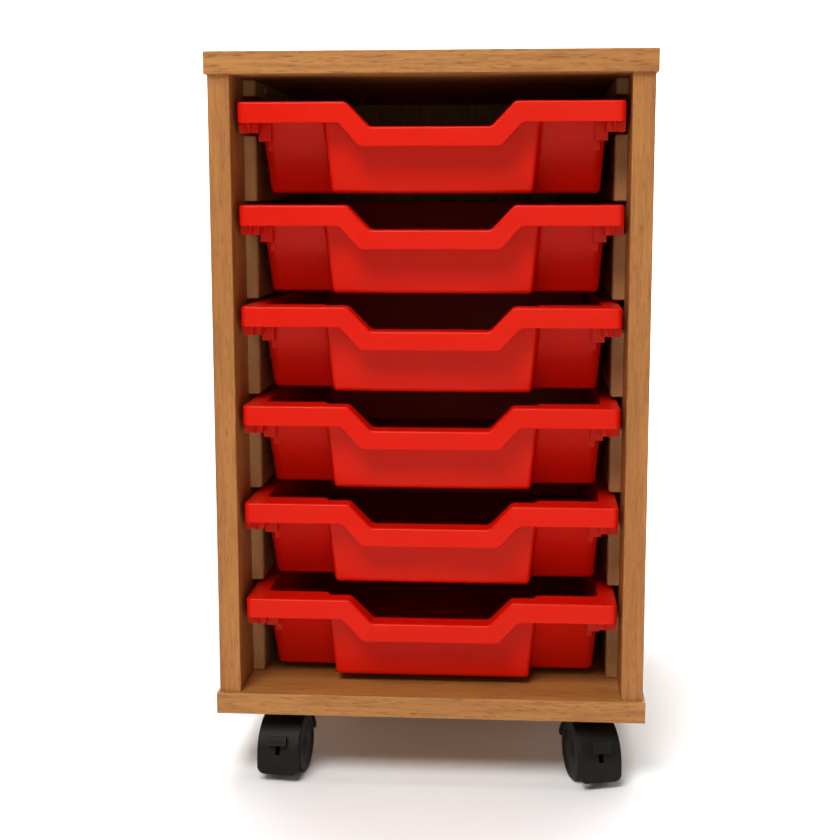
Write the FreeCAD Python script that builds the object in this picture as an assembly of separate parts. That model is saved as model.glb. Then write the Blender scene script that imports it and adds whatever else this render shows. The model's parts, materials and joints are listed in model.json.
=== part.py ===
import FreeCAD, Part
import math
import os

# Classroom tray storage unit: a beech-faced carcass on four twin-wheel castors, with six shallow
# plastic trays that slide on wooden runners. Millimetres. +Z is up, the open front faces -Y, and
# the origin is on the floor, under the middle of the carcass.

V = FreeCAD.Vector
X_AXIS = V(1, 0, 0)
Z_AXIS = V(0, 0, 1)

# --- Trays -----------------------------------------------------------------------------------------
TRAY_COUNT = 6
TRAY_WIDTH = 312.0
TRAY_LENGTH = 427.0
TRAY_HEIGHT = 73.0
TRAY_WALL = 2.2
TRAY_FRONT_CORNER = 5.0
TRAY_REAR_CORNER = 12.0
APRON_HEIGHT = 16.9
DIP_DEPTH = 19.9
DIP_APRON_HEIGHT = 15.8
DIP_TOP_HALF = 68.0
DIP_FLOOR_HALF = 49.0
DIP_UNDER_HALF = 57.0
DIP_UNDER_TOP_HALF = 74.0
DIP_CORNER = 6.0
LIP_HEIGHT = 24.45
REAR_LIP_HEIGHT = 12.0
RIM_WIDTH = 13.0
RIM_DEPTH_SIDE = 25.0
RIM_DEPTH_BULGE = 15.8
BULGE_TOP_HALF = 89.0
BODY_SIDE_DRAFT = 4.4
BODY_FRONT_DRAFT = 29.8
BULGE_FRONT_DRAFT = 10.3
BULGE_SIDE_DRAFT = 6.3
BULGE_FLARE = 2.0
BODY_REAR_DRAFT = 7.0
BODY_CORNER = 8.0
BULGE_CORNER = 4.0
BODY_FLOOR_RADIUS = 4.0
RIM_EDGE_RADIUS = 2.0
RIM_INNER_RADIUS = 1.0
SKIRT_EDGE_RADIUS = 1.0
RAIL_WALL_SETBACK = 11.0
RIB_THICKNESS = 1.6
RIB_INSET = 9.0
RIB_FOOT = 2.0
GUSSET_SETBACK = 27.4
GUSSET_HEIGHT = 30.6
GUSSET_INNER_INSET = 23.2
PAD_WIDTH = 4.7
PAD_HEIGHT = 38.0
PAD_STAND_OFF = 2.0
CROSS_RIB_COUNT = 5
CROSS_RIB_HEIGHT = 14.0
CROSS_RIB_FRONT_MARGIN = 77.0
CROSS_RIB_REAR_MARGIN = 50.0

# --- Carcass ---------------------------------------------------------------------------------------
PANEL = 18.0
BACK_PANEL = 8.0
EDGE_BAND = 2.0
SIDE_OVERHANG = 2.0
FRONT_OVERHANG = 4.0
TRAY_SIDE_CLEARANCE = 4.0
TRAY_FRONT_RECESS = 7.2
TRAY_REAR_CLEARANCE = 7.8
TRAY_UNDER_CLEARANCE = 6.75
RUNNER_ABOVE_RIM = 2.5
TOP_RUNNER_GAP = 5.0

# --- Runners ---------------------------------------------------------------------------------------
RUNNER_THICKNESS = 10.0
TOP_RUNNER_HEIGHT = 13.5
RUNNER_SETBACK = 60.0
RUNNER_REAR_GAP = 2.0
RUNNER_NOSE_RADIUS = 3.0
RUNNER_EDGE_RADIUS = 1.5
RUNNING_GAP = 0.3

# --- Dowels and screws -----------------------------------------------------------------------------
FIT_CLEARANCE = 0.05
DOWEL_RADIUS = 4.0
DOWEL_IN_PANEL = 11.0
DOWEL_IN_SIDE = 21.0
DOWEL_COUNT = 4
DOWEL_END_MARGIN = 50.0
RUNNER_SCREW_RADIUS = 1.75
RUNNER_SCREW_HEAD_RADIUS = 3.6
RUNNER_SCREW_HEAD_DEPTH = 2.2
RUNNER_SCREW_BITE = 13.0

# --- Castors ---------------------------------------------------------------------------------------
CASTOR_HEIGHT = 60.0
CASTOR_INSET_X = 53.6
CASTOR_INSET_Y = 51.5
CASTOR_SHIFT = 3.6
CASTOR_TRAIL = 20.0
WHEEL_RADIUS = 25.0
WHEEL_WIDTH = 11.4
WHEEL_EDGE = 2.4
WHEEL_DISH_RADIUS = 18.5
WHEEL_DISH_DEPTH = 0.8
WHEEL_CAP_RADIUS = 5.5
WHEEL_SIDE_GAP = 0.3
WHEEL_TREAD_GAP = 0.7
WHEEL_END_WALL = 1.5
AXLE_RADIUS = 3.0
AXLE_END_GAP = 0.2
WEB_THICKNESS = 11.4
WEB_DROP = 9.0
WEB_BITE = 0.8
HOOD_SKIN = 1.9
HOOD_SIDE_COVER = 0.8
HOOD_EDGE = 1.2
HOOD_DROP = 5.0
HOOD_SKIRT = 13.0
HOOD_SKIRT_CORNER = 7.0
HOOD_REAR_ANGLE = 160.0
POCKET_ABOVE_AXLE = 9.0
POCKET_CORNER = 3.0
HOUSING_RADIUS = 9.0
HOUSING_FOOT = 8.0
PLATE_SIZE = 60.0
PLATE_THICKNESS = 2.5
PLATE_CORNER = 6.0
COLLAR_RADIUS = 9.0
COLLAR_HEIGHT = 1.5
KINGPIN_RADIUS = 2.75
KINGPIN_DROP = 23.5
KINGPIN_HEAD_RADIUS = 4.2
KINGPIN_HEAD_HEIGHT = 2.0
KINGPIN_HEAD_ROOM = 0.4
SWIVEL_GAP = 0.3
CASTOR_SCREW_SPACING = 44.0
CASTOR_SCREW_RADIUS = 2.1
CASTOR_SCREW_HEAD_RADIUS = 4.0
CASTOR_SCREW_HEAD_HEIGHT = 2.0
CASTOR_SCREW_BITE = 13.0

# --- Brake levers ----------------------------------------------------------------------------------
LEVER_THICKNESS = 3.2
LEVER_SIDE_GAP = 0.35
LEVER_BOSS_RADIUS = 7.0
LEVER_ARM_HEIGHT = 4.8
LEVER_ANGLE = 21.0
LEVER_TRAVEL = 14.0
LEVER_TAB_WIDTH = 16.0
LEVER_TAB_HEIGHT = 9.6
LEVER_TAB_THICKNESS = 3.0
LEVER_TAB_GAP = 0.5
LEVER_RIDGE_COUNT = 3
LEVER_RIDGE_HEIGHT = 0.9
LEVER_RIDGE_WIDTH = 1.2
LEVER_SLOT_SPARE = 4.0

# Where each castor points at rest: the angle of its trail from straight forward, about +Z.
CASTOR_YAWS = {
    "front_left": -6.7,
    "front_right": 16.2,
    "rear_left": 12.0,
    "rear_right": -16.0,
}
BRAKED_CASTORS = ("front_left", "front_right")

# --- Levels and planes that follow from the sizes above ----------------------------------------------
INNER_HALF = TRAY_WIDTH / 2 + TRAY_SIDE_CLEARANCE
OUTER_HALF = INNER_HALF + PANEL
TOP_HALF = OUTER_HALF + SIDE_OVERHANG
SIDE_DEPTH = TRAY_FRONT_RECESS + TRAY_LENGTH + TRAY_REAR_CLEARANCE + BACK_PANEL
PANEL_DEPTH = SIDE_DEPTH + FRONT_OVERHANG
PANEL_FRONT_Y = -PANEL_DEPTH / 2
SIDE_FRONT_Y = PANEL_FRONT_Y + FRONT_OVERHANG
REAR_Y = PANEL_DEPTH / 2
BACK_FRONT_Y = REAR_Y - BACK_PANEL
TRAY_FRONT_Y = SIDE_FRONT_Y + TRAY_FRONT_RECESS
FLOOR_TOP_Z = CASTOR_HEIGHT + PANEL
TRAY_PITCH = TRAY_UNDER_CLEARANCE + TRAY_HEIGHT + RUNNER_ABOVE_RIM
RUNNER_HEIGHT = TRAY_UNDER_CLEARANCE + TRAY_HEIGHT - LIP_HEIGHT - RUNNING_GAP
SIDE_HEIGHT = TRAY_COUNT * TRAY_PITCH + TOP_RUNNER_GAP + TOP_RUNNER_HEIGHT
SIDE_TOP_Z = FLOOR_TOP_Z + SIDE_HEIGHT
RUNNER_INNER_HALF = INNER_HALF - RUNNER_THICKNESS
RUNNER_FRONT_Y = SIDE_FRONT_Y + RUNNER_SETBACK
RUNNER_REAR_Y = BACK_FRONT_Y - RUNNER_REAR_GAP
CASTOR_X = TOP_HALF - CASTOR_INSET_X
CASTOR_Y = REAR_Y - CASTOR_INSET_Y

AXLE_Z = WHEEL_RADIUS
WHEEL_INNER_X = WEB_THICKNESS / 2 + WHEEL_SIDE_GAP
WHEEL_OUTER_X = WHEEL_INNER_X + WHEEL_WIDTH
WHEEL_ROOM_RADIUS = WHEEL_RADIUS + WHEEL_TREAD_GAP
AXLE_HALF_LENGTH = WHEEL_OUTER_X - WHEEL_END_WALL - AXLE_END_GAP
HOOD_HALF = WHEEL_OUTER_X + HOOD_SIDE_COVER
HOOD_Z = AXLE_Z - HOOD_DROP
HOOD_FOOT_Z = HOOD_Z - HOOD_SKIRT
HOOD_INNER_RADIUS = WHEEL_ROOM_RADIUS + HOOD_DROP
HOOD_RADIUS = HOOD_INNER_RADIUS + HOOD_SKIN
HOOD_REACH = math.hypot(HOOD_RADIUS, HOOD_DROP)
PLATE_UNDER_Z = CASTOR_HEIGHT - PLATE_THICKNESS
HOUSING_TOP_Z = PLATE_UNDER_Z - COLLAR_HEIGHT - SWIVEL_GAP
KINGPIN_FOOT_Z = PLATE_UNDER_Z - KINGPIN_DROP
KINGPIN_SHOULDER_Z = KINGPIN_FOOT_Z + KINGPIN_HEAD_HEIGHT

# How far a cutting shape reaches past what it cuts, and how close two levels are when they are one.
CLEAR = 1.0
LEVEL_TOLERANCE = 1e-4

# A face looks up or down where its normal leans further than this from level.
LEDGE_SLOPE = 0.3

OUTPUT_FOLDER = "parts"


# --- Plain shapes ------------------------------------------------------------------------------------
def block(x0, x1, y0, y1, z0, z1):
    """Box between two corners, given in any order."""
    low = V(min(x0, x1), min(y0, y1), min(z0, z1))
    return Part.makeBox(abs(x1 - x0), abs(y1 - y0), abs(z1 - z0), low)


def rounded_wire(points, radii):
    """Closed wire through the points, each corner rounded by its own radius."""
    count = len(points)
    arcs = []
    for index, (corner, radius) in enumerate(zip(points, radii)):
        back = (points[index - 1] - corner).normalize()
        ahead = (points[(index + 1) % count] - corner).normalize()
        half_angle = back.getAngle(ahead) / 2
        reach = radius / math.tan(half_angle)
        inward = (back + ahead).normalize()
        middle = corner + inward * (radius / math.sin(half_angle) - radius)
        arcs.append((corner + back * reach, middle, corner + ahead * reach))
    edges = []
    for index, (start, middle, end) in enumerate(arcs):
        if radii[index] > 0:
            edges.append(Part.Arc(start, middle, end).toShape())
        following = arcs[(index + 1) % count][0]
        edges.append(Part.LineSegment(end, following).toShape())
    return Part.Wire(edges)


def prism(points, radii, travel):
    """Solid swept from a rounded polygon along a straight travel."""
    return Part.Face(rounded_wire(points, radii)).extrude(travel)


def joined(shapes):
    """One solid from shapes that overlap or share faces."""
    return shapes[0].fuse(shapes[1:]).removeSplitter()


def edges_where(shape, test):
    """Edges of the shape whose vertices all pass the test."""
    return [edge for edge in shape.Edges if all(test(vertex.Point) for vertex in edge.Vertexes)]


def at_level(value, level):
    """True where a coordinate lies on a level."""
    return abs(value - level) < LEVEL_TOLERANCE


def edges_along(shape, guide, facing, lowest):
    """Edges that lie on a guide shape, above a level, beside a face looking up (1) or down (-1)."""
    found = []
    for edge in shape.Edges:
        middle = edge.valueAt((edge.FirstParameter + edge.LastParameter) / 2)
        points = [middle] + [vertex.Point for vertex in edge.Vertexes]
        if min(point.z for point in points) < lowest:
            continue
        if any(guide.distToShape(Part.Vertex(point))[0] > LEVEL_TOLERANCE for point in points):
            continue
        normals = [
            face.normalAt(*face.Surface.parameter(middle))
            for face in shape.ancestorsOfType(edge, Part.Face)
        ]
        if max(facing * normal.z for normal in normals) > LEDGE_SLOPE:
            found.append(edge)
    return found


def evenly(first, last, count):
    """Count positions from first to last, both included."""
    if count == 1:
        return [(first + last) / 2]
    return [first + (last - first) * index / (count - 1) for index in range(count)]


# --- Trays: built with the front face at y = 0 and the top of the rim at z = 0 ------------------------
def tray_plan(inset, z0, z1):
    """The tray's outer plan, moved in by an inset, as a solid between two levels."""
    half = TRAY_WIDTH / 2 - inset
    rear = TRAY_LENGTH - inset
    corners = [V(-half, inset, z0), V(half, inset, z0), V(half, rear, z0), V(-half, rear, z0)]
    front_radius = TRAY_FRONT_CORNER - inset
    rear_radius = TRAY_REAR_CORNER - inset
    return prism(corners, [front_radius, front_radius, rear_radius, rear_radius], V(0, 0, z1 - z0))


def body_outline(depth, inset):
    """Outline of the tray's body at a depth below the rim, moved in by an inset."""
    share = depth / TRAY_HEIGHT
    half = TRAY_WIDTH / 2 - RIM_WIDTH - BODY_SIDE_DRAFT * share - inset
    front = RIM_DEPTH_SIDE + BODY_FRONT_DRAFT * share + inset
    bulge_front = RIM_DEPTH_BULGE + BULGE_FRONT_DRAFT * share + inset
    rear = TRAY_LENGTH - RIM_WIDTH - BODY_REAR_DRAFT * share - inset
    bulge = BULGE_TOP_HALF - BULGE_SIDE_DRAFT * share - inset
    root = bulge + BULGE_FLARE
    outline = [
        (-half, rear), (-half, front), (-root, front), (-bulge, bulge_front),
        (bulge, bulge_front), (root, front), (half, front), (half, rear),
    ]
    body_corner = BODY_CORNER - inset
    bulge_corner = BULGE_CORNER - inset
    root_corner = inset + TRAY_WALL
    radii = [
        body_corner, body_corner, root_corner, bulge_corner,
        bulge_corner, root_corner, body_corner, body_corner,
    ]
    return rounded_wire([V(x, y, -depth) for x, y in outline], radii)


def body_loft(top_depth, bottom_depth, inset, floor_radius):
    """Drafted body between two depths, with its bottom edge rounded."""
    wires = [body_outline(top_depth, inset), body_outline(bottom_depth, inset)]
    loft = Part.makeLoft(wires, True, True)
    bottom = edges_where(loft, lambda point: at_level(point.z, -bottom_depth))
    return loft.makeFillet(floor_radius, bottom)


def dip_profile(top_half, floor_half, level, edge):
    """Front view line with the dip in the middle: points and corner radii from left to right."""
    points = [
        V(-edge, 0, level), V(-top_half, 0, level), V(-floor_half, 0, level - DIP_DEPTH),
        V(floor_half, 0, level - DIP_DEPTH), V(top_half, 0, level), V(edge, 0, level),
    ]
    return points, [0, DIP_CORNER, DIP_CORNER, DIP_CORNER, DIP_CORNER, 0]


def front_band(top, bottom, depth):
    """Solid between two front view lines, running back from the front face."""
    points = top[0] + bottom[0][::-1]
    radii = top[1] + bottom[1][::-1]
    return prism(points, radii, V(0, depth, 0))


def under_line():
    """Front view line of the apron's lower edge."""
    edge = TRAY_WIDTH / 2 + CLEAR
    points, radii = dip_profile(DIP_UNDER_TOP_HALF, DIP_UNDER_HALF, -APRON_HEIGHT, edge)
    floor = -DIP_DEPTH - DIP_APRON_HEIGHT
    points[2].z = floor
    points[3].z = floor
    return points, radii


def tray_rim():
    """Flat rim all round, which follows the dip at the front."""
    edge = TRAY_WIDTH / 2 + CLEAR
    top = dip_profile(DIP_TOP_HALF, DIP_FLOOR_HALF, 0, edge)
    under = dip_profile(DIP_TOP_HALF, DIP_FLOOR_HALF, -TRAY_WALL, edge)
    front_zone = RIM_DEPTH_SIDE + TRAY_WALL
    front = front_band(top, under, front_zone)
    back = block(-edge, edge, front_zone, TRAY_LENGTH, -TRAY_WALL, 0)
    plan = tray_plan(0, -TRAY_HEIGHT, 0)
    return [front.common(plan), back.common(plan)]


def tray_skirt():
    """Apron at the front, lips down the sides that run on the runners, and a short rear lip."""
    edge = TRAY_WIDTH / 2 + CLEAR
    ring = tray_plan(0, -TRAY_HEIGHT, 0).cut(tray_plan(TRAY_WALL, -TRAY_HEIGHT - CLEAR, CLEAR))
    top = dip_profile(DIP_TOP_HALF, DIP_FLOOR_HALF, 0, edge)
    apron = front_band(top, under_line(), RAIL_WALL_SETBACK)
    rear_start = TRAY_LENGTH - TRAY_REAR_CORNER
    lips = block(-edge, edge, RAIL_WALL_SETBACK, rear_start, -LIP_HEIGHT, 0)
    rear = block(-edge, edge, rear_start, TRAY_LENGTH + CLEAR, -REAR_LIP_HEIGHT, 0)
    return [ring.common(apron), ring.common(lips), ring.common(rear)]


def rail_end(side):
    """Closed front end of a side rail: end wall, inner wall and the sloping rib ahead of it."""
    outer = TRAY_WIDTH / 2 - TRAY_WALL / 2
    inner = TRAY_WIDTH / 2 - RIM_WIDTH - RIB_FOOT
    end_wall = block(
        side * inner, side * outer,
        RAIL_WALL_SETBACK, RAIL_WALL_SETBACK + RIB_THICKNESS, -LIP_HEIGHT, -TRAY_WALL / 2)
    inner_wall = block(
        side * inner, side * (inner + RIB_THICKNESS),
        RAIL_WALL_SETBACK, GUSSET_SETBACK + RIB_THICKNESS, -LIP_HEIGHT, -TRAY_WALL / 2)
    rib_x = side * (TRAY_WIDTH / 2 - RIB_INSET) - RIB_THICKNESS / 2
    wall_front = RAIL_WALL_SETBACK + RIB_THICKNESS / 2
    profile = [
        (TRAY_WALL / 2, -TRAY_WALL / 2), (wall_front, -TRAY_WALL / 2), (wall_front, -LIP_HEIGHT),
        (RAIL_WALL_SETBACK - RIB_FOOT, -LIP_HEIGHT), (TRAY_WALL / 2, -APRON_HEIGHT),
    ]
    rib = prism([V(rib_x, y, z) for y, z in profile], [0] * len(profile), V(RIB_THICKNESS, 0, 0))
    return [end_wall, inner_wall, rib]


def gussets(side):
    """Stepped stiffeners between the rim and the front corner of the body."""
    outer = TRAY_WIDTH / 2 - RIM_WIDTH
    inner = TRAY_WIDTH / 2 - GUSSET_INNER_INSET
    reach = GUSSET_SETBACK + BODY_FRONT_DRAFT * GUSSET_HEIGHT / TRAY_HEIGHT + BODY_CORNER
    top = -TRAY_WALL / 2
    front_wall = block(
        side * inner, side * outer, GUSSET_SETBACK, GUSSET_SETBACK + RIB_THICKNESS, -GUSSET_HEIGHT, top)
    outer_wall = block(
        side * (outer - TRAY_WALL - RIB_THICKNESS / 2), side * outer,
        GUSSET_SETBACK, reach, -GUSSET_HEIGHT, top)
    inner_wall = block(
        side * inner, side * (inner + RIB_THICKNESS), GUSSET_SETBACK, reach, -GUSSET_HEIGHT, top)
    wall_y = RIM_DEPTH_SIDE + BODY_FRONT_DRAFT * PAD_HEIGHT / TRAY_HEIGHT
    pad_x = inner - RIB_THICKNESS / 2
    pad = block(
        side * pad_x, side * (pad_x + PAD_WIDTH),
        wall_y - PAD_STAND_OFF, wall_y + TRAY_WALL, -PAD_HEIGHT, top)
    return [front_wall, outer_wall, inner_wall, pad]


def cross_ribs(side):
    """Short stiffeners under a side rim, from the body out to the lip."""
    inner = TRAY_WIDTH / 2 - RIM_WIDTH - TRAY_WALL
    outer = TRAY_WIDTH / 2 - TRAY_WALL / 2
    rows = evenly(CROSS_RIB_FRONT_MARGIN, TRAY_LENGTH - CROSS_RIB_REAR_MARGIN, CROSS_RIB_COUNT)
    return [
        block(side * inner, side * outer, y, y + RIB_THICKNESS, -CROSS_RIB_HEIGHT, -TRAY_WALL / 2)
        for y in rows
    ]


def tray():
    """Whole tray in its own place: front face at y = 0, top of the rim at z = 0."""
    pieces = tray_rim() + tray_skirt()
    for side in (-1, 1):
        pieces += rail_end(side) + gussets(side) + cross_ribs(side)
    pieces.append(body_loft(0, TRAY_HEIGHT, 0, BODY_FLOOR_RADIUS))
    cavity = body_loft(-CLEAR, TRAY_HEIGHT - TRAY_WALL, TRAY_WALL, BODY_FLOOR_RADIUS - TRAY_WALL)
    edge = TRAY_WIDTH / 2 + CLEAR
    line = dip_profile(DIP_TOP_HALF, DIP_FLOOR_HALF, 0, edge)
    above = ([V(-edge, 0, CLEAR), V(edge, 0, CLEAR)], [0, 0])
    dip = front_band(above, line, 2 * RIM_DEPTH_SIDE)
    whole = joined(pieces).cut([cavity, dip])
    outer_side = Part.makeShell(tray_plan(0, -TRAY_HEIGHT, CLEAR).Faces)
    lowest_top = -DIP_DEPTH - CLEAR
    lowest_skirt = lowest_top - DIP_APRON_HEIGHT
    whole = whole.makeFillet(RIM_EDGE_RADIUS, edges_along(whole, outer_side, 1, lowest_top))
    whole = whole.makeFillet(SKIRT_EDGE_RADIUS, edges_along(whole, outer_side, -1, lowest_skirt))
    return whole.makeFillet(RIM_INNER_RADIUS, edges_along(whole, cavity, 1, lowest_top))


# --- Carcass -----------------------------------------------------------------------------------------
def dowel_rows():
    """Places of the dowels from front to back."""
    return evenly(SIDE_FRONT_Y + DOWEL_END_MARGIN, REAR_Y - DOWEL_END_MARGIN, DOWEL_COUNT)


def dowel_places():
    """Centre line of each dowel, along the middle of both side panels."""
    x = INNER_HALF + PANEL / 2
    return [(side * x, y) for side in (-1, 1) for y in dowel_rows()]


def dowels(extra_radius):
    """Dowels between the side panels and the top and bottom panels."""
    pins = []
    radius = DOWEL_RADIUS + extra_radius
    length = DOWEL_IN_PANEL + DOWEL_IN_SIDE
    for x, y in dowel_places():
        pins.append(Part.makeCylinder(radius, length, V(x, y, FLOOR_TOP_Z - DOWEL_IN_PANEL)))
        pins.append(Part.makeCylinder(radius, length, V(x, y, SIDE_TOP_Z - DOWEL_IN_SIDE)))
    return pins


def runner_levels():
    """Underside of each runner from the top one down, the short top runner first, and its height."""
    levels = [(SIDE_TOP_Z - TOP_RUNNER_HEIGHT, TOP_RUNNER_HEIGHT)]
    for row in range(TRAY_COUNT - 1, -1, -1):
        levels.append((FLOOR_TOP_Z + row * TRAY_PITCH, RUNNER_HEIGHT))
    return levels


def runner(side, z, height):
    """Wooden runner on a side panel, with its front corner and inner edges rounded."""
    inner = side * RUNNER_INNER_HALF
    outer = side * INNER_HALF
    corners = [
        V(outer, RUNNER_FRONT_Y, z), V(inner, RUNNER_FRONT_Y, z),
        V(inner, RUNNER_REAR_Y, z), V(outer, RUNNER_REAR_Y, z),
    ]
    bar = prism(corners, [0, RUNNER_NOSE_RADIUS, 0, 0], V(0, 0, height))
    inner_edges = edges_where(bar, lambda point: at_level(point.x, inner))
    long_edges = [edge for edge in inner_edges if edge.Length > RUNNER_SETBACK]
    return bar.makeFillet(RUNNER_EDGE_RADIUS, long_edges)


def runner_screws(side, extra):
    """Countersunk screws from the runners into their panel, between the dowels; extra widens the holes."""
    screws = []
    outward = V(side, 0, 0)
    head = RUNNER_SCREW_HEAD_RADIUS + extra
    shank = RUNNER_SCREW_RADIUS + extra
    length = RUNNER_THICKNESS + RUNNER_SCREW_BITE
    rows = dowel_rows()
    for z, height in runner_levels():
        for front_row, rear_row in zip(rows, rows[1:]):
            base = V(side * RUNNER_INNER_HALF, (front_row + rear_row) / 2, z + height / 2)
            cone = Part.makeCone(head, shank, RUNNER_SCREW_HEAD_DEPTH, base, outward)
            stem = Part.makeCylinder(shank, length, base, outward)
            screws.append(cone.fuse(stem).removeSplitter())
    return screws


def side_panel(side):
    """Side panel behind its edge band, drilled for dowels and runner screws."""
    panel = block(
        side * INNER_HALF, side * OUTER_HALF, SIDE_FRONT_Y + EDGE_BAND, REAR_Y, FLOOR_TOP_Z, SIDE_TOP_Z)
    return panel.cut(dowels(FIT_CLEARANCE) + runner_screws(side, FIT_CLEARANCE))


def side_edge_band(side):
    """Lipping on the front edge of a side panel."""
    band = block(
        side * INNER_HALF, side * OUTER_HALF, SIDE_FRONT_Y, SIDE_FRONT_Y + EDGE_BAND, FLOOR_TOP_Z, SIDE_TOP_Z)
    front = edges_where(band, lambda point: at_level(point.y, SIDE_FRONT_Y))
    upright = [edge for edge in front if edge.Length > PANEL + CLEAR]
    return band.makeFillet(EDGE_BAND / 2, upright)


def flat_panel(z):
    """Top or bottom panel inside its edge bands, drilled for the dowels."""
    half = TOP_HALF - EDGE_BAND
    panel = block(-half, half, PANEL_FRONT_Y + EDGE_BAND, REAR_Y, z, z + PANEL)
    return panel.cut(dowels(FIT_CLEARANCE))


def flat_edge_band(z):
    """Lipping on the front and both ends of the top or bottom panel."""
    front = block(-TOP_HALF, TOP_HALF, PANEL_FRONT_Y, PANEL_FRONT_Y + EDGE_BAND, z, z + PANEL)
    long_edges = edges_where(front, lambda point: at_level(point.y, PANEL_FRONT_Y))
    strips = [front.makeFillet(EDGE_BAND / 2, [edge for edge in long_edges if edge.Length > PANEL + CLEAR])]
    for side in (-1, 1):
        strips.append(block(
            side * (TOP_HALF - EDGE_BAND), side * TOP_HALF, PANEL_FRONT_Y + EDGE_BAND, REAR_Y, z, z + PANEL))
    return strips


def back_panel():
    """Back panel between the side, top and bottom panels."""
    return block(-INNER_HALF, INNER_HALF, BACK_FRONT_Y, REAR_Y, FLOOR_TOP_Z, SIDE_TOP_Z)


# --- Castors: built with the kingpin on the z axis, the trail towards -y and the floor at z = 0 --------
def axle_cylinder(radius, x0, x1):
    """Cylinder about the axle's line between two places across the castor."""
    return Part.makeCylinder(radius, x1 - x0, V(x0, -CASTOR_TRAIL, AXLE_Z), X_AXIS)


def side_prism(points, radii, x0, x1):
    """Solid from a side view outline, given as distance ahead of the axle and height above it."""
    corners = [V(x0, -CASTOR_TRAIL - ahead, AXLE_Z + up) for ahead, up in points]
    return prism(corners, radii, V(x1 - x0, 0, 0))


def hood_cylinder(radius, half):
    """Cylinder about the hood's own centre line, which runs below the axle."""
    return Part.makeCylinder(radius, 2 * half, V(-half, -CASTOR_TRAIL, HOOD_Z), X_AXIS)


def hood_envelope():
    """Outer form of the hood: a drum over the wheels, with a straight skirt at the front."""
    front = -CASTOR_TRAIL - HOOD_RADIUS
    section = [
        V(-HOOD_HALF, -CASTOR_TRAIL, HOOD_Z), V(-HOOD_HALF, front, HOOD_Z),
        V(HOOD_HALF, front, HOOD_Z), V(HOOD_HALF, -CASTOR_TRAIL, HOOD_Z),
    ]
    face = Part.Face(rounded_wire(section, [0, HOOD_EDGE, HOOD_EDGE, 0]))
    drum = face.revolve(V(0, -CASTOR_TRAIL, HOOD_Z), -X_AXIS, HOOD_REAR_ANGLE)
    skirt = face.extrude(V(0, 0, -HOOD_SKIRT))
    shield = prism(
        [V(-HOOD_HALF, 0, HOOD_FOOT_Z), V(HOOD_HALF, 0, HOOD_FOOT_Z),
         V(HOOD_HALF, 0, HOOD_Z), V(-HOOD_HALF, 0, HOOD_Z)],
        [HOOD_SKIRT_CORNER, HOOD_SKIRT_CORNER, 0, 0], V(0, front - CLEAR, 0))
    return drum.fuse(skirt.common(shield))


def wheel_space():
    """Room that the hood leaves round the wheels, right through both of its open sides."""
    half = HOOD_HALF + CLEAR
    low = HOOD_FOOT_Z - CLEAR
    drum = axle_cylinder(WHEEL_ROOM_RADIUS, -half, half)
    rear = -CASTOR_TRAIL + HOOD_RADIUS
    lower = block(-half, half, -CASTOR_TRAIL - HOOD_INNER_RADIUS, rear, low, HOOD_Z)
    top = AXLE_Z + POCKET_ABOVE_AXLE
    ahead = block(-half, half, -CASTOR_TRAIL - HOOD_RADIUS, -CASTOR_TRAIL, low, top)
    pocket = ahead.common(hood_cylinder(HOOD_INNER_RADIUS, half))
    corner = edges_where(
        pocket, lambda point: at_level(point.z, top) and point.y < -CASTOR_TRAIL - CLEAR)
    return [drum, lower, pocket.makeFillet(POCKET_CORNER, corner)]


def kingpin_housing():
    """Upright boss that turns on the kingpin, clear of the wheels."""
    foot = AXLE_Z + HOUSING_FOOT
    boss = Part.makeCylinder(HOUSING_RADIUS, HOUSING_TOP_Z - foot, V(0, 0, foot))
    half_web = WEB_THICKNESS / 2
    rooms = [
        axle_cylinder(WHEEL_ROOM_RADIUS, half_web, HOOD_HALF),
        axle_cylinder(WHEEL_ROOM_RADIUS, -HOOD_HALF, -half_web),
    ]
    return boss.cut(rooms)


def hood_web():
    """Plate between the two wheels that holds the axle."""
    half_web = WEB_THICKNESS / 2
    disc = axle_cylinder(WHEEL_ROOM_RADIUS + WEB_BITE, -half_web, half_web)
    front_disc = hood_cylinder(HOOD_INNER_RADIUS + WEB_BITE, half_web)
    front = -CASTOR_TRAIL - HOOD_RADIUS
    low = AXLE_Z - WEB_DROP
    high = AXLE_Z + HOOD_RADIUS
    whole = block(-half_web, half_web, front, -CASTOR_TRAIL + HOOD_RADIUS, low, high)
    ahead = block(-half_web, half_web, front, -CASTOR_TRAIL, low, high)
    return joined([disc.common(whole), front_disc.common(ahead)])


def kingpin_bore():
    """Bore for the kingpin, with a wider room below for its head."""
    shoulder = KINGPIN_SHOULDER_Z + SWIVEL_GAP
    bore_length = HOUSING_TOP_Z - shoulder + CLEAR
    bore = Part.makeCylinder(KINGPIN_RADIUS + FIT_CLEARANCE, bore_length, V(0, 0, shoulder))
    room_radius = KINGPIN_HEAD_RADIUS + KINGPIN_HEAD_ROOM
    low = AXLE_Z - WEB_DROP - CLEAR
    room = Part.makeCylinder(room_radius, shoulder - low, V(0, 0, low))
    return [bore, room]


def turned_about_axle(shape, angle):
    """Copy of a shape raised about the axle by an angle."""
    return shape.rotated(V(0, -CASTOR_TRAIL, AXLE_Z), -X_AXIS, angle)


def lever_arm(half_width, half_height):
    """Straight arm from the axle to the tab, before it is raised to its angle."""
    tip = HOOD_REACH + LEVER_TAB_GAP + LEVER_TAB_THICKNESS / 2
    return block(
        -half_width, half_width, -CASTOR_TRAIL, -CASTOR_TRAIL - tip,
        AXLE_Z - half_height, AXLE_Z + half_height)


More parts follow.
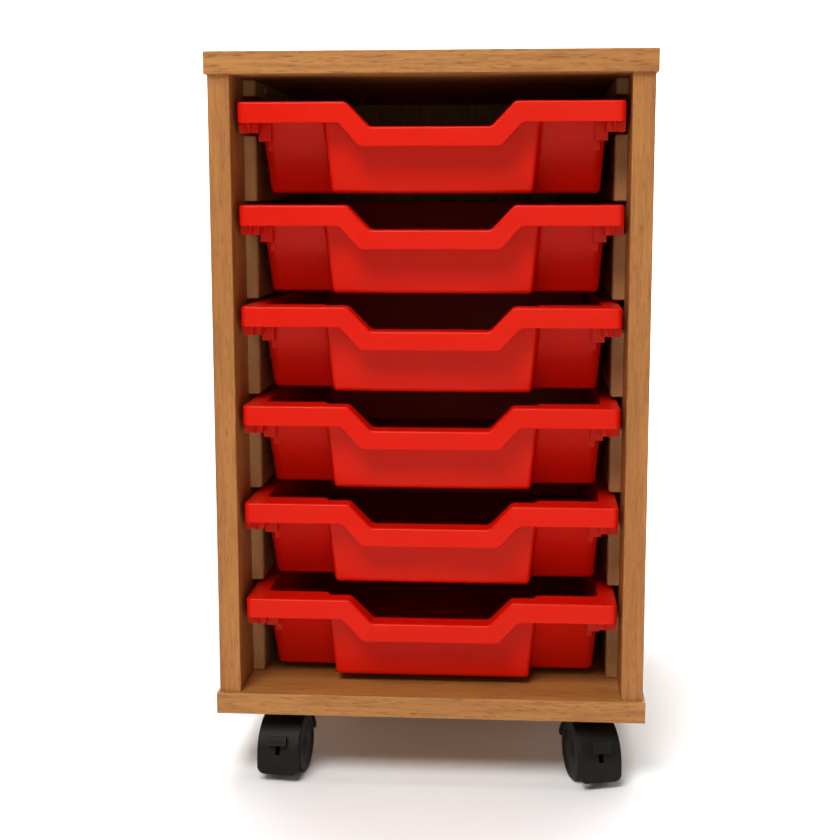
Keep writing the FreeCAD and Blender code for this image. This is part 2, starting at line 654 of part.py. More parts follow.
def lever_slot():
    """Slot through web and hood that the brake lever sweeps."""
    half_width = LEVER_THICKNESS / 2 + LEVER_SIDE_GAP
    arm = lever_arm(half_width, LEVER_ARM_HEIGHT / 2)
    high = LEVER_ANGLE + LEVER_SLOT_SPARE
    low = LEVER_ANGLE - LEVER_TRAVEL - LEVER_SLOT_SPARE
    reach = HOOD_REACH + CLEAR
    rays = [(0, 0)]
    for angle in (low, high):
        rays.append((reach * math.cos(math.radians(angle)), reach * math.sin(math.radians(angle))))
    sweep = side_prism(rays, [0] * len(rays), -half_width, half_width)
    boss_room = axle_cylinder(LEVER_BOSS_RADIUS + LEVER_SIDE_GAP, -half_width, half_width)
    return [turned_about_axle(arm, low), turned_about_axle(arm, high), sweep, boss_room]


def castor_hood(braked):
    """Hood, web and kingpin housing in one moulding."""
    shell = hood_envelope().cut(wheel_space())
    hood = joined([shell, hood_web(), kingpin_housing()])
    holes = kingpin_bore() + [axle_cylinder(AXLE_RADIUS, -WEB_THICKNESS, WEB_THICKNESS)]
    if braked:
        holes += lever_slot()
    return hood.cut(holes)


def castor_wheel(side):
    """Wheel with a rounded tread, a shallow dish round a hub cap, and a blind bore."""
    body = axle_cylinder(WHEEL_RADIUS, WHEEL_INNER_X, WHEEL_OUTER_X)
    rims = [edge for edge in body.Edges if edge.Length > WHEEL_RADIUS * math.pi]
    body = body.makeFillet(WHEEL_EDGE, rims)
    dish = axle_cylinder(WHEEL_DISH_RADIUS, WHEEL_OUTER_X - WHEEL_DISH_DEPTH, WHEEL_OUTER_X + CLEAR)
    dish = dish.cut(axle_cylinder(WHEEL_CAP_RADIUS, WHEEL_INNER_X, WHEEL_OUTER_X + 2 * CLEAR))
    bore = axle_cylinder(AXLE_RADIUS + FIT_CLEARANCE, WHEEL_INNER_X - CLEAR, WHEEL_OUTER_X - WHEEL_END_WALL)
    wheel = body.cut([dish, bore])
    if side < 0:
        wheel = wheel.mirror(V(0, 0, 0), X_AXIS)
    return wheel


def castor_axle():
    """Axle held in the web, with a wheel on each end."""
    return axle_cylinder(AXLE_RADIUS, -AXLE_HALF_LENGTH, AXLE_HALF_LENGTH)


def castor_plate():
    """Square top plate, drilled for the kingpin and four screws."""
    half = PLATE_SIZE / 2
    corners = [V(-half, -half, 0), V(half, -half, 0), V(half, half, 0), V(-half, half, 0)]
    plate = prism([corner + V(0, 0, PLATE_UNDER_Z) for corner in corners], [PLATE_CORNER] * 4,
                  V(0, 0, PLATE_THICKNESS))
    pin_hole = Part.makeCylinder(KINGPIN_RADIUS, PLATE_THICKNESS, V(0, 0, PLATE_UNDER_Z))
    return plate.cut([pin_hole] + castor_screws(FIT_CLEARANCE))


def kingpin():
    """Pin riveted in the plate: collar under the plate, shaft, and a head that holds the hood up."""
    shaft = Part.makeCylinder(KINGPIN_RADIUS, CASTOR_HEIGHT - KINGPIN_FOOT_Z, V(0, 0, KINGPIN_FOOT_Z))
    collar = Part.makeCylinder(COLLAR_RADIUS, COLLAR_HEIGHT, V(0, 0, PLATE_UNDER_Z - COLLAR_HEIGHT))
    head = Part.makeCylinder(KINGPIN_HEAD_RADIUS, KINGPIN_HEAD_HEIGHT, V(0, 0, KINGPIN_FOOT_Z))
    return joined([shaft, collar, head])


def castor_screws(extra):
    """Pan-head screws through one plate into the bottom panel; extra widens them for holes."""
    screws = []
    offset = CASTOR_SCREW_SPACING / 2
    radius = CASTOR_SCREW_RADIUS + extra
    for x in (-offset, offset):
        for y in (-offset, offset):
            foot = V(x, y, PLATE_UNDER_Z)
            shank = Part.makeCylinder(radius, PLATE_THICKNESS + CASTOR_SCREW_BITE, foot)
            head = Part.makeCylinder(
                CASTOR_SCREW_HEAD_RADIUS, CASTOR_SCREW_HEAD_HEIGHT, foot - V(0, 0, CASTOR_SCREW_HEAD_HEIGHT))
            screws.append(joined([shank, head]))
    return screws


def brake_lever():
    """Lever that turns on the axle inside the web, with a ridged tab in front of the hood."""
    half_thickness = LEVER_THICKNESS / 2
    boss = axle_cylinder(LEVER_BOSS_RADIUS, -half_thickness, half_thickness)
    arm = lever_arm(half_thickness, LEVER_ARM_HEIGHT / 2)
    tab_inner = HOOD_REACH + LEVER_TAB_GAP
    tab_outer = tab_inner + LEVER_TAB_THICKNESS
    half_tab = LEVER_TAB_WIDTH / 2
    ring = axle_cylinder(tab_outer, -half_tab, half_tab).cut(axle_cylinder(tab_inner, -half_tab, half_tab))
    tab = ring.common(block(
        -half_tab, half_tab, -CASTOR_TRAIL, -CASTOR_TRAIL - tab_outer,
        AXLE_Z - LEVER_TAB_HEIGHT / 2, AXLE_Z + LEVER_TAB_HEIGHT / 2))
    pieces = [boss, arm, tab]
    spread = LEVER_TAB_HEIGHT / 2 - LEVER_RIDGE_WIDTH
    for up in evenly(-spread, spread, LEVER_RIDGE_COUNT):
        pieces.append(block(
            -half_tab + LEVER_RIDGE_WIDTH, half_tab - LEVER_RIDGE_WIDTH,
            -CASTOR_TRAIL - tab_inner - LEVER_TAB_THICKNESS / 2,
            -CASTOR_TRAIL - tab_outer - LEVER_RIDGE_HEIGHT,
            AXLE_Z + up - LEVER_RIDGE_WIDTH / 2, AXLE_Z + up + LEVER_RIDGE_WIDTH / 2))
    bore = axle_cylinder(AXLE_RADIUS + FIT_CLEARANCE, -LEVER_THICKNESS, LEVER_THICKNESS)
    return turned_about_axle(joined(pieces).cut(bore), LEVER_ANGLE)


# --- The whole unit ------------------------------------------------------------------------------------
def kingpin_place(corner):
    """Foot of the kingpin's line for a named corner of the unit."""
    x = -CASTOR_X if corner.endswith("left") else CASTOR_X
    y = -CASTOR_Y if corner.startswith("front") else CASTOR_Y
    return V(x + CASTOR_SHIFT, y, 0)


def castor_nodes(corner):
    """Named pieces of one castor in their place; what swivels is turned to its rest angle."""
    place = kingpin_place(corner)
    turning = {
        "hood": castor_hood(corner in BRAKED_CASTORS),
        "axle": castor_axle(),
        "wheel_left": castor_wheel(-1),
        "wheel_right": castor_wheel(1),
    }
    if corner in BRAKED_CASTORS:
        turning["brake_lever"] = brake_lever()
    nodes = {f"{corner}_plate": castor_plate(), f"{corner}_kingpin": kingpin()}
    for name, shape in turning.items():
        nodes[f"{corner}_{name}"] = shape.rotated(V(0, 0, 0), Z_AXIS, CASTOR_YAWS[corner])
    return {name: shape.translated(place) for name, shape in nodes.items()}


def all_castor_screws(extra):
    """Screws of all four castors."""
    screws = castor_screws(extra)
    return [screw.translated(kingpin_place(corner)) for corner in CASTOR_YAWS for screw in screws]


def carcass_nodes():
    """Panels, edge bands, back panel, dowels and castor screws."""
    bottom = flat_panel(CASTOR_HEIGHT).cut(all_castor_screws(FIT_CLEARANCE))
    return {
        "top_panel": flat_panel(SIDE_TOP_Z),
        "bottom_panel": bottom,
        "left_side_panel": side_panel(-1),
        "right_side_panel": side_panel(1),
        "back_panel": back_panel(),
        "top_edge_band": Part.makeCompound(flat_edge_band(SIDE_TOP_Z)),
        "bottom_edge_band": Part.makeCompound(flat_edge_band(CASTOR_HEIGHT)),
        "left_edge_band": side_edge_band(-1),
        "right_edge_band": side_edge_band(1),
        "carcass_dowels": Part.makeCompound(dowels(0)),
        "castor_screws": Part.makeCompound(all_castor_screws(0)),
    }


def runner_nodes():
    """Runners down both sides and the screws that hold them."""
    nodes = {}
    for hand, side in (("left", -1), ("right", 1)):
        holes = runner_screws(side, FIT_CLEARANCE)
        for index, (z, height) in enumerate(runner_levels()):
            name = f"{hand}_runner_{index}" if index else f"{hand}_top_runner"
            nodes[name] = runner(side, z, height).cut(holes)
        nodes[f"{hand}_runner_screws"] = Part.makeCompound(runner_screws(side, 0))
    return nodes


def tray_nodes():
    """Trays from the top one down, each with its lips just above its runners."""
    shape = tray()
    nodes = {}
    for index in range(TRAY_COUNT):
        row = TRAY_COUNT - 1 - index
        rim_z = FLOOR_TOP_Z + row * TRAY_PITCH + TRAY_UNDER_CLEARANCE + TRAY_HEIGHT
        nodes[f"tray_{index + 1}"] = shape.translated(V(0, TRAY_FRONT_Y, rim_z))
    return nodes


def build():
    """Every node of the unit by name."""
    nodes = carcass_nodes()
    nodes.update(runner_nodes())
    nodes.update(tray_nodes())
    for corner in CASTOR_YAWS:
        nodes.update(castor_nodes(corner))
    return nodes


os.makedirs(OUTPUT_FOLDER, exist_ok=True)
for node_name, node_shape in build().items():
    node_shape.exportStep(os.path.join(OUTPUT_FOLDER, f"{node_name}.step"))
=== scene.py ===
"""Dresses the classroom tray storage unit: laminate, wood, moulded plastic, castors and screws."""

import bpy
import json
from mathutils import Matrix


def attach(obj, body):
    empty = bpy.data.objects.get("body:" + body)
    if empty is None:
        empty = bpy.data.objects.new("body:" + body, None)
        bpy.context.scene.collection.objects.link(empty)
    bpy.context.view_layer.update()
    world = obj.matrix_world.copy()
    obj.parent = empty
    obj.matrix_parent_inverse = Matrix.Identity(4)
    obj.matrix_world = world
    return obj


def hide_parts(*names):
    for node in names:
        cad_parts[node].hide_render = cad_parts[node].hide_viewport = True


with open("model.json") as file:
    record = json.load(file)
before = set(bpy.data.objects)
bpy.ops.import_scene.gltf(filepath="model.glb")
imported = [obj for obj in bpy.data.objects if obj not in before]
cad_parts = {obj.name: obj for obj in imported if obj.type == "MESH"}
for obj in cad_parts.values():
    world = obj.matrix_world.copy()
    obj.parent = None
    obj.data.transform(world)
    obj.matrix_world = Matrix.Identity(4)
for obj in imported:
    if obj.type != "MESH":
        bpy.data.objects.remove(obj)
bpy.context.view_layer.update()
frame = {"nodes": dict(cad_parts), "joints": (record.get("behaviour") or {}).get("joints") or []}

import json
import logging
import math
from dataclasses import dataclass
from enum import Enum

import bmesh
import bpy
from mathutils import Matrix, Vector

LOG = logging.getLogger("tray_unit")
MILLIMETRE = 0.001
TINY = 0.0001 * MILLIMETRE
SMOOTH_LIMIT = math.radians(32)
Colour = tuple[float, float, float, float]
WHITE: Colour = (1.0, 1.0, 1.0, 1.0)
Levels = tuple[float, float]
FULL: Levels = (0.0, 1.0)


def screen_colour(red: float, green: float, blue: float) -> Colour:
    """Linear colour of a screen colour.

    Args:
        red: Red from 0 to 255.
        green: Green from 0 to 255.
        blue: Blue from 0 to 255.

    Returns:
        Linear red, green and blue from 0 to 1, and an alpha of 1.
    """
    knee = 0.04045
    channels = []
    for value in (red / 255, green / 255, blue / 255):
        channels.append(value / 12.92 if value <= knee else ((value + 0.055) / 1.055) ** 2.4)
    return (*channels, 1.0)


def even(repeats: float) -> Vector:
    """The same number of repeats per metre along X, Y and Z."""
    return Vector((repeats, repeats, repeats))


# --- Finishes -------------------------------------------------------------------------------------


class Grain(Enum):
    """Direction that the grain of a board runs in."""

    ACROSS = 0
    DEEP = 1
    UPRIGHT = 2

    def repeats(self, along: float, across: float) -> Vector:
        """Repeats of a pattern per metre.

        Args:
            along: Repeats per metre along the grain.
            across: Repeats per metre across it.

        Returns:
            Repeats per metre along X, Y and Z.
        """
        counts = [across] * 3
        counts[self.value] = along
        return Vector(counts)


@dataclass(frozen=True)
class NoiseLayer:
    """Noise pattern: its repeats per metre, and how it is layered."""

    repeats: Vector
    detail: float = 2.0
    roughness: float = 0.5
    distortion: float = 0.0


class ShaderGraph:
    """Node graph of one material, drawn in object coordinates."""

    def __init__(self, name: str, constants: dict[str, float | Colour]) -> None:
        """Starts a material.

        Args:
            name: Name of the material.
            constants: Values of the shader's sockets that are the same all over the surface.
        """
        self.material = bpy.data.materials.new(name)
        self.material.use_nodes = True
        self.nodes = self.material.node_tree.nodes
        self.links = self.material.node_tree.links
        self.shader = self.nodes["Principled BSDF"]
        for socket, value in constants.items():
            self.shader.inputs[socket].default_value = value

    def scaled_place(self, repeats: Vector) -> bpy.types.NodeSocket:
        """Object coordinates times a scale.

        Args:
            repeats: Scale along X, Y and Z.

        Returns:
            Socket with the scaled coordinates.
        """
        place = self.nodes.new("ShaderNodeTexCoord")
        mapping = self.nodes.new("ShaderNodeMapping")
        mapping.inputs["Scale"].default_value = repeats
        self.links.new(place.outputs["Object"], mapping.inputs["Vector"])
        return mapping.outputs["Vector"]

    def noise(self, layer: NoiseLayer) -> bpy.types.NodeSocket:
        """Noise in object coordinates.

        Args:
            layer: Repeats and layering of the noise.

        Returns:
            Socket with the noise from 0 to 1.
        """
        noise = self.nodes.new("ShaderNodeTexNoise")
        noise.inputs["Scale"].default_value = 1.0
        noise.inputs["Detail"].default_value = layer.detail
        noise.inputs["Roughness"].default_value = layer.roughness
        noise.inputs["Distortion"].default_value = layer.distortion
        self.links.new(self.scaled_place(layer.repeats), noise.inputs["Vector"])
        return noise.outputs["Fac"]

    def fall_off(self, radius: float) -> bpy.types.NodeSocket:
        """Even fall with the distance from the object's origin.

        Args:
            radius: Distance in metres at which the fall ends.

        Returns:
            Socket that falls from 1 at the origin to 0 at the radius.
        """
        ball = self.nodes.new("ShaderNodeTexGradient")
        ball.gradient_type = "SPHERICAL"
        self.links.new(self.scaled_place(even(1.0 / radius)), ball.inputs["Vector"])
        return ball.outputs["Fac"]

    def spread(
        self, value: bpy.types.NodeSocket, source: Levels, target: Levels
    ) -> bpy.types.NodeSocket:
        """Value carried from one range to another and held inside it.

        Args:
            value: Socket to read.
            source: Range of the value.
            target: Range of the result.

        Returns:
            Socket with the result.
        """
        node = self.nodes.new("ShaderNodeMapRange")
        node.inputs["From Min"].default_value = source[0]
        node.inputs["From Max"].default_value = source[1]
        node.inputs["To Min"].default_value = target[0]
        node.inputs["To Max"].default_value = target[1]
        self.links.new(value, node.inputs["Value"])
        return node.outputs["Result"]

    def blend(
        self,
        share: bpy.types.NodeSocket,
        first: Colour | bpy.types.NodeSocket,
        second: Colour | bpy.types.NodeSocket,
    ) -> bpy.types.NodeSocket:
        """Colour between two colours.

        Args:
            share: Socket that is 0 for the first colour and 1 for the second.
            first: Colour or socket at 0.
            second: Colour or socket at 1.

        Returns:
            Socket with the colour.
        """
        node = self.nodes.new("ShaderNodeMix")
        node.data_type = "RGBA"
        self.links.new(share, node.inputs["Factor"])
        for label, side in (("A", first), ("B", second)):
            socket = next(s for s in node.inputs if s.name == label and s.type == "RGBA")
            if isinstance(side, bpy.types.NodeSocket):
                self.links.new(side, socket)
            else:
                socket.default_value = side
        return next(s for s in node.outputs if s.type == "RGBA")

    def paint(self, colour: bpy.types.NodeSocket) -> None:
        """Joins a colour to the shader."""
        self.links.new(colour, self.shader.inputs["Base Color"])

    def roughen(self, roughness: bpy.types.NodeSocket) -> None:
        """Joins a roughness to the shader."""
        self.links.new(roughness, self.shader.inputs["Roughness"])

    def glow(self, colour: Colour, strength: bpy.types.NodeSocket) -> None:
        """Makes the surface give off light.

        Args:
            colour: Colour of the light.
            strength: Socket with the strength of the light.
        """
        self.shader.inputs["Emission Color"].default_value = colour
        self.links.new(strength, self.shader.inputs["Emission Strength"])

    def emboss(self, layers: list[tuple[bpy.types.NodeSocket, float]]) -> None:
        """Raises the surface by stacked height patterns.

        Args:
            layers: Height sockets, each with its full height in metres.
        """
        below = None
        for height, distance in layers:
            node = self.nodes.new("ShaderNodeBump")
            node.inputs["Distance"].default_value = distance
            self.links.new(height, node.inputs["Height"])
            if below is not None:
                self.links.new(below, node.inputs["Normal"])
            below = node.outputs["Normal"]
        self.links.new(below, self.shader.inputs["Normal"])


@dataclass(frozen=True)
class BeechBoard:
    """Beech, printed or solid: broad bands, fine streaks and short dark flecks along the grain."""

    name: str
    grain: Grain
    pale: Colour
    deep: Colour
    fleck: Colour
    roughness: float = 0.46
    contrast: float = 1.0
    lacquer_index: float = 1.46
    gloss: float = 0.4
    rub: float = 0.1
    rub_levels: Levels = (0.35, 0.7)
    band_repeats: tuple[float, float] = (4.0, 46.0)
    band_levels: Levels = (0.3, 0.7)
    streak_repeats: tuple[float, float] = (24.0, 460.0)
    streak_levels: Levels = (0.44, 0.7)
    streak_strength: float = 0.42
    streak_height: float = 0.06 * MILLIMETRE
    fleck_repeats: tuple[float, float] = (95.0, 950.0)
    fleck_levels: Levels = (0.56, 0.7)
    fleck_strength: float = 0.6
    fleck_height: float = 0.03 * MILLIMETRE

    def make(self) -> bpy.types.Material:
        """Draws the board's figure, from the broadest pattern to the finest.

        Returns:
            Material of the board.
        """
        graph = ShaderGraph(
            self.name, {"IOR": self.lacquer_index, "Specular IOR Level": self.gloss}
        )
        bands = graph.noise(NoiseLayer(
            self.grain.repeats(*self.band_repeats), detail=4.0, roughness=0.6, distortion=0.6
        ))
        streaks = graph.noise(NoiseLayer(
            self.grain.repeats(*self.streak_repeats), detail=4.0, roughness=0.6
        ))
        flecks = graph.noise(NoiseLayer(self.grain.repeats(*self.fleck_repeats)))
        tone = graph.blend(graph.spread(bands, self.band_levels, FULL), self.pale, self.deep)
        marks = (
            (streaks, self.streak_levels, self.streak_strength),
            (flecks, self.fleck_levels, self.fleck_strength),
        )
        for pattern, levels, strength in marks:
            share = graph.spread(pattern, levels, (0.0, strength * self.contrast))
            tone = graph.blend(share, tone, self.fleck)
        graph.paint(tone)
        rough = (self.roughness, self.roughness + self.rub)
        graph.roughen(graph.spread(streaks, self.rub_levels, rough))
        graph.emboss([(streaks, self.streak_height), (flecks, self.fleck_height)])
        return graph.material


@dataclass(frozen=True)
class MouldedPlastic:
    """Moulded plastic with a fine eroded texture, faint clouding and dull rubbed patches."""

    name: str
    body: Colour
    cloud: Colour
    roughness: float
    texture_height: float = 0.02 * MILLIMETRE
    rub: float = 0.12
    gloss: float = 0.5
    sheen: Colour = WHITE
    index: float = 1.49
    cloud_layer: NoiseLayer = NoiseLayer(Vector((9.0, 9.0, 14.0)), detail=3.0, distortion=0.3)
    cloud_levels: Levels = (0.35, 0.7)
    patch_layer: NoiseLayer = NoiseLayer(Vector((30.0, 55.0, 30.0)), detail=5.0, roughness=0.65)
    patch_levels: Levels = (0.45, 0.72)
    erosion_layer: NoiseLayer = NoiseLayer(even(2200.0))
    ripple_layer: NoiseLayer = NoiseLayer(even(24.0), detail=1.0)
    ripple_height: float = 0.4 * MILLIMETRE

    def make(self) -> bpy.types.Material:
        """Draws the moulding's clouding, rubbed patches, ripple and eroded texture.

        Returns:
            Material of the moulding.
        """
        shine = {"IOR": self.index, "Specular IOR Level": self.gloss, "Specular Tint": self.sheen}
        graph = ShaderGraph(self.name, shine)
        clouds = graph.noise(self.cloud_layer)
        patches = graph.noise(self.patch_layer)
        erosion = graph.noise(self.erosion_layer)
        ripple = graph.noise(self.ripple_layer)
        cloudy = graph.spread(clouds, self.cloud_levels, FULL)
        graph.paint(graph.blend(cloudy, self.body, self.cloud))
        rough = (self.roughness, self.roughness + self.rub)
        graph.roughen(graph.spread(patches, self.patch_levels, rough))
        graph.emboss([(ripple, self.ripple_height), (erosion, self.texture_height)])
        return graph.material


@dataclass(frozen=True)
class PlatedSteel:
    """Zinc-plated steel with fine drawn lines and cloudy plating."""

    name: str
    bright: Colour
    dull: Colour
    roughness: float
    tarnish: float = 0.18
    cloud_layer: NoiseLayer = NoiseLayer(even(120.0), detail=4.0)
    cloud_levels: Levels = (0.35, 0.7)
    tarnish_levels: Levels = (0.4, 0.75)
    line_layer: NoiseLayer = NoiseLayer(Vector((90.0, 2600.0, 400.0)))
    line_height: float = 0.02 * MILLIMETRE

    def make(self) -> bpy.types.Material:
        """Draws the plating's clouds and the drawn lines.

        Returns:
            Material of the metal.
        """
        graph = ShaderGraph(self.name, {"Metallic": 1.0})
        clouds = graph.noise(self.cloud_layer)
        lines = graph.noise(self.line_layer)
        cloudy = graph.spread(clouds, self.cloud_levels, FULL)
        graph.paint(graph.blend(cloudy, self.bright, self.dull))
        rough = (self.roughness, self.roughness + self.tarnish)
        graph.roughen(graph.spread(clouds, self.tarnish_levels, rough))
        graph.emboss([(lines, self.line_height)])
        return graph.material


LEVEL_LAMINATE_TONES = {
    "pale": screen_colour(182, 126, 63),
    "deep": screen_colour(164, 106, 52),
    "fleck": screen_colour(120, 68, 32),
}
UPRIGHT_LAMINATE_TONES = {
    "pale": screen_colour(174, 116, 56),
    "deep": screen_colour(158, 99, 47),
    "fleck": screen_colour(116, 66, 30),
}
SOLID_BEECH_TONES = {
    "pale": screen_colour(186, 136, 84),
    "deep": screen_colour(172, 124, 76),
    "fleck": screen_colour(134, 90, 54),
}


class Palette:
    """Every finish of the unit, made once and named by what it covers."""

    def __init__(self) -> None:
        """Makes the materials."""
        self.across = BeechBoard(
            "beech_laminate_across", Grain.ACROSS, contrast=1.2, **LEVEL_LAMINATE_TONES
        ).make()
        self.upright = BeechBoard(
            "beech_laminate_upright", Grain.UPRIGHT, **UPRIGHT_LAMINATE_TONES
        ).make()
        self.runner = BeechBoard(
            "runner_beech", Grain.DEEP, roughness=0.5, contrast=0.5, **SOLID_BEECH_TONES
        ).make()
        self.dowel = BeechBoard("dowel_beech", Grain.UPRIGHT, **SOLID_BEECH_TONES).make()
        self.tray = MouldedPlastic(
            "tray_red", screen_colour(209, 18, 3), screen_colour(204, 15, 3), 0.34,
            gloss=0.2, sheen=(1.0, 0.82, 0.6, 1.0),
        ).make()
        self.hood = MouldedPlastic(
            "castor_hood_black", screen_colour(13, 11, 8), screen_colour(18, 15, 11), 0.5,
            texture_height=0.04 * MILLIMETRE, gloss=0.22,
        ).make()
        self.wheel = MouldedPlastic(
            "castor_wheel_black", screen_colour(12, 10, 8), screen_colour(20, 17, 14), 0.55,
            texture_height=0.05 * MILLIMETRE, rub=0.2, gloss=0.22,
        ).make()
        self.lever = MouldedPlastic(
            "brake_lever_black", screen_colour(20, 18, 15), screen_colour(27, 24, 20), 0.45,
            texture_height=0.04 * MILLIMETRE, gloss=0.3,
        ).make()
        self.screw = PlatedSteel(
            "screw_zinc", screen_colour(196, 197, 198), screen_colour(150, 150, 148), 0.28
        ).make()
        self.bracket = PlatedSteel(
            "castor_zinc", screen_colour(178, 180, 182), screen_colour(132, 133, 132), 0.34
        ).make()


# --- Mesh helpers ---------------------------------------------------------------------------------


def finished_piece(
    mesh: bmesh.types.BMesh, name: str, body: str, material: bpy.types.Material
) -> bpy.types.Object:
    """Turns a mesh into a piece that rides on a body.

    Args:
        mesh: Mesh in its place in the frame, which is used up.
        name: Name of the piece.
        body: Body that the piece rides on.
        material: Finish of the piece.

    Returns:
        The new object, at the origin.
    """
    data = bpy.data.meshes.new(name)
    mesh.to_mesh(data)
    mesh.free()
    data.materials.append(material)
    data.shade_smooth()
    data.set_sharp_from_angle(angle=SMOOTH_LIMIT)
    piece = bpy.data.objects.new(name, data)
    bpy.context.scene.collection.objects.link(piece)
    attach(piece, body)
    LOG.info("%s: %d faces on %s", name, len(data.polygons), body)
    return piece


def lathe(
    mesh: bmesh.types.BMesh, profile: list[tuple[float, float]], steps: int
) -> list[bmesh.types.BMVert]:
    """Turned solid about the Z axis.

    Args:
        mesh: Mesh that gets the solid.
        profile: Radius and height of each point, from the axis at one end to the axis at the other.
        steps: Number of steps in a full turn.

    Returns:
        The new vertices.
    """
    before = set(mesh.verts)
    line = [mesh.verts.new((radius, 0, height)) for radius, height in profile]
    edges = [mesh.edges.new(pair) for pair in zip(line, line[1:])]
    bmesh.ops.spin(
        mesh, geom=line + edges, cent=(0, 0, 0), axis=(0, 0, 1), angle=math.tau,
        steps=steps, use_merge=True,
    )
    made = [vertex for vertex in mesh.verts if vertex not in before]
    bmesh.ops.remove_doubles(mesh, verts=made, dist=0.01 * MILLIMETRE)
    made = [vertex for vertex in mesh.verts if vertex not in before]
    faces = dict.fromkeys(face for vertex in made for face in vertex.link_faces)
    bmesh.ops.recalc_face_normals(mesh, faces=list(faces))
    return made


def turn_to(axis: Vector) -> Matrix:
    """Turn that carries +Z to an axis."""
    return axis.to_track_quat("Z", "Y").to_matrix().to_4x4()


def solids_of(node: str) -> list[list[Vector]]:
    """Vertices of each separate solid of a CAD node.

    Args:
        node: Name of the node.

    Returns:
        One list of points for each solid.
    """
    mesh = bmesh.new()
    mesh.from_mesh(frame["nodes"][node].data)
    bmesh.ops.remove_doubles(mesh, verts=mesh.verts, dist=0.001 * MILLIMETRE)
    reached = set()
    groups = []
    for seed in mesh.verts:
        if seed in reached:
            continue
        reached.add(seed)
        front = [seed]
        group = []
        while front:
            vertex = front.pop()
            group.append(vertex.co.copy())
            for edge in vertex.link_edges:
                other = edge.other_vert(vertex)
                if other not in reached:
                    reached.add(other)
                    front.append(other)
        groups.append(group)
    mesh.free()
    return groups


def box_of(points: list[Vector]) -> tuple[Vector, Vector]:
    """Upright box round some points.

    Args:
        points: Points to enclose.

    Returns:
        Lowest and highest corner of the box.
    """
    low = Vector([min(point[axis] for point in points) for axis in range(3)])
    high = Vector([max(point[axis] for point in points) for axis in range(3)])
    return low, high


# --- Sub-assemblies -------------------------------------------------------------------------------


def finish_nodes(nodes: list[str], material: bpy.types.Material) -> None:
    """Gives CAD nodes a finish.

    Args:
        nodes: Names of the nodes.
        material: Finish that they get.
    """
    for name in nodes:
        for slot in frame["nodes"][name].material_slots:
            slot.material = material
        LOG.info("%s: finished in %s", name, material.name)


@dataclass
class Carcass:
    """Panels, edge bands, dowels and runners of the carcass."""

    palette: Palette
    runner_count: int = 6

    def dress(self) -> None:
        """Gives every board its finish, with its grain along its length."""
        level = ["top_panel", "bottom_panel", "top_edge_band", "bottom_edge_band"]
        finish_nodes(level, self.palette.across)
        upright = ["left_side_panel", "right_side_panel", "left_edge_band", "right_edge_band"]
        finish_nodes([*upright, "back_panel"], self.palette.upright)
        finish_nodes(["carcass_dowels"], self.palette.dowel)
        for hand in ("left", "right"):
            runners = [f"{hand}_runner_{index + 1}" for index in range(self.runner_count)]
            finish_nodes([f"{hand}_top_runner", *runners], self.palette.runner)


@dataclass
class TrayStack:
    """The trays, from the top one down."""

    palette: Palette
    count: int = 6

    def dress(self) -> None:
        """Gives the trays their finish."""
        finish_nodes([f"tray_{index + 1}" for index in range(self.count)], self.palette.tray)


class HeadForm(Enum):
    """Form of a screw's head, as shares of its radius and height from the driven face down."""

    PAN = ((0.72, 0.0), (0.93, 0.22), (1.0, 0.62), (1.0, 1.0))
    COUNTERSUNK = ((0.97, 0.0), (1.0, 0.06))


